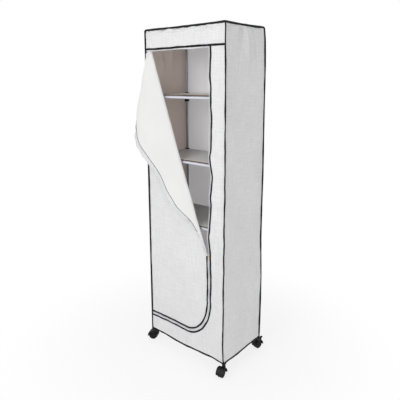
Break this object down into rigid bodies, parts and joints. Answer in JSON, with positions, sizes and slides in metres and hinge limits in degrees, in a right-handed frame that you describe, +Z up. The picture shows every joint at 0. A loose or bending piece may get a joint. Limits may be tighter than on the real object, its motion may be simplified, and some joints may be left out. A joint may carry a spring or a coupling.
{
  "type": "portable fabric wardrobe",
  "caption": "Tall narrow fabric wardrobe on casters: a tube rack of shelves under a white cover with black bindings, its zipped door part open and folded back.",
  "frame": {"origin": "on the floor, under the middle of the whole outline", "axes": "+X to the right along the front, +Y from the front to the back, +Z up"},
  "size_m": [0.6086, 0.3726, 1.6221],
  "materials": {
    "white_cloth": "matt, finely woven",
    "white_steel": "satin powder coat",
    "black_plastic": "matt moulded",
    "black_rubber": "matt moulded",
    "white_board": "white faced fibreboard with raw brown edges",
    "brass": "satin"
  },
  "bodies": {
    "frame_and_cover": {"post_front_left": "white_steel", "post_front_right": "white_steel", "post_rear_left": "white_steel", "post_rear_right": "white_steel", "side_rail_left_1": "black_plastic", "side_rail_right_1": "black_plastic", "front_rail_1": "white_steel", "back_rail_1": "white_steel", "shelf_board_1": "white_board", "side_rail_left_2": "black_plastic", "side_rail_right_2": "black_plastic", "front_rail_2": "white_steel", "back_rail_2": "white_steel", "shelf_board_2": "white_board", "side_rail_left_3": "black_plastic", "side_rail_right_3": "black_plastic", "front_rail_3": "white_steel", "back_rail_3": "white_steel", "shelf_board_3": "white_board", "side_rail_left_4": "black_plastic", "side_rail_right_4": "black_plastic", "front_rail_4": "white_steel", "back_rail_4": "white_steel", "shelf_board_4": "white_board", "side_rail_left_5": "black_plastic", "side_rail_right_5": "black_plastic", "front_rail_5": "white_steel", "back_rail_5": "white_steel", "shelf_board_5": "white_board", "side_rail_left_6": "black_plastic", "side_rail_right_6": "black_plastic", "front_rail_6": "white_steel", "back_rail_6": "white_steel", "cover_side_left": "white_cloth", "cover_side_right": "white_cloth", "cover_back": "white_cloth", "cover_roof": "white_cloth", "cover_header": "white_cloth", "cover_surround": "white_cloth", "door_lower": "white_cloth"},
    "door_flap": {"door_flap": "white_cloth"},
    "zip_slider": {"zip_slider": "brass"},
    "zip_pull": {"zip_pull": "brass"},
    "caster_front_left": {"caster_hood_front_left": "black_plastic"},
    "wheel_front_left_1": {"wheel_front_left_1": "black_rubber"},
    "wheel_front_left_2": {"wheel_front_left_2": "black_rubber"},
    "caster_front_right": {"caster_hood_front_right": "black_plastic"},
    "wheel_front_right_1": {"wheel_front_right_1": "black_rubber"},
    "wheel_front_right_2": {"wheel_front_right_2": "black_rubber"},
    "caster_rear_left": {"caster_hood_rear_left": "black_plastic"},
    "wheel_rear_left_1": {"wheel_rear_left_1": "black_rubber"},
    "wheel_rear_left_2": {"wheel_rear_left_2": "black_rubber"},
    "brake_lever_rear_left": {"brake_lever_rear_left": "black_plastic"},
    "caster_rear_right": {"caster_hood_rear_right": "black_plastic"},
    "wheel_rear_right_1": {"wheel_rear_right_1": "black_rubber"},
    "wheel_rear_right_2": {"wheel_rear_right_2": "black_rubber"},
    "brake_lever_rear_right": {"brake_lever_rear_right": "black_plastic"}
  },
  "joints": [
    {"name": "door_fold", "type": "hinge", "parent": "frame_and_cover", "child": "door_flap", "pos_m": [0.18936, -0.15137, 0.57757], "axis": [-0.3421, 0, 0.9397], "range_deg": [0, 172]},
    {"name": "zip_slide", "type": "slide", "parent": "frame_and_cover", "child": "zip_slider", "axis": [0, 0, 1], "range_m": [-0.22, 0.92]},
    {"name": "pull_swing", "type": "hinge", "parent": "zip_slider", "child": "zip_pull", "pos_m": [0.19936, -0.15067, 0.57757], "axis": [-1, 0, 0], "range_deg": [0, 170]},
    {"name": "swivel_front_left", "type": "hinge", "parent": "frame_and_cover", "child": "caster_front_left", "pos_m": [-0.17954, -0.12997, 0.05557], "axis": [0, 0, 1], "continuous": true},
    {"name": "wheel_spin_front_left_1", "type": "hinge", "parent": "caster_front_left", "child": "wheel_front_left_1", "pos_m": [-0.20174, -0.14033, 0.02207], "axis": [0.4226, -0.9063, 0], "continuous": true},
    {"name": "wheel_spin_front_left_2", "type": "hinge", "parent": "caster_front_left", "child": "wheel_front_left_2", "pos_m": [-0.20174, -0.14033, 0.02207], "axis": [0.4226, -0.9063, 0], "continuous": true},
    {"name": "swivel_front_right", "type": "hinge", "parent": "frame_and_cover", "child": "caster_front_right", "pos_m": [0.27426, -0.12997, 0.05557], "axis": [0, 0, 1], "continuous": true},
    {"name": "wheel_spin_front_right_1", "type": "hinge", "parent": "caster_front_right", "child": "wheel_front_right_1", "pos_m": [0.27935, -0.15393, 0.02207], "axis": [0.9781, 0.2079, 0], "continuous": true},
    {"name": "wheel_spin_front_right_2", "type": "hinge", "parent": "caster_front_right", "child": "wheel_front_right_2", "pos_m": [0.27935, -0.15393, 0.02207], "axis": [0.9781, 0.2079, 0], "continuous": true},
    {"name": "swivel_rear_left", "type": "hinge", "parent": "frame_and_cover", "child": "caster_rear_left", "pos_m": [-0.17954, 0.12683, 0.05557], "axis": [0, 0, 1], "continuous": true},
    {"name": "wheel_spin_rear_left_1", "type": "hinge", "parent": "caster_rear_left", "child": "wheel_rear_left_1", "pos_m": [-0.19104, 0.14846, 0.02207], "axis": [-0.8829, -0.4695, 0], "continuous": true},
    {"name": "wheel_spin_rear_left_2", "type": "hinge", "parent": "caster_rear_left", "child": "wheel_rear_left_2", "pos_m": [-0.19104, 0.14846, 0.02207], "axis": [-0.8829, -0.4695, 0], "continuous": true},
    {"name": "brake_press_rear_left", "type": "hinge", "parent": "caster_rear_left", "child": "brake_lever_rear_left", "pos_m": [-0.19967, 0.16469, 0.04398], "axis": [-0.8829, -0.4695, 0], "range_deg": [0, 25]},
    {"name": "swivel_rear_right", "type": "hinge", "parent": "frame_and_cover", "child": "caster_rear_right", "pos_m": [0.27426, 0.12683, 0.05557], "axis": [0, 0, 1], "continuous": true},
    {"name": "wheel_spin_rear_right_1", "type": "hinge", "parent": "caster_rear_right", "child": "wheel_rear_right_1", "pos_m": [0.27852, 0.15096, 0.02207], "axis": [-0.9848, 0.1736, 0], "continuous": true},
    {"name": "wheel_spin_rear_right_2", "type": "hinge", "parent": "caster_rear_right", "child": "wheel_rear_right_2", "pos_m": [0.27852, 0.15096, 0.02207], "axis": [-0.9848, 0.1736, 0], "continuous": true},
    {"name": "brake_press_rear_right", "type": "hinge", "parent": "caster_rear_right", "child": "brake_lever_rear_right", "pos_m": [0.28171, 0.16906, 0.04398], "axis": [-0.9848, 0.1736, 0], "range_deg": [0, 25]}
  ]
}
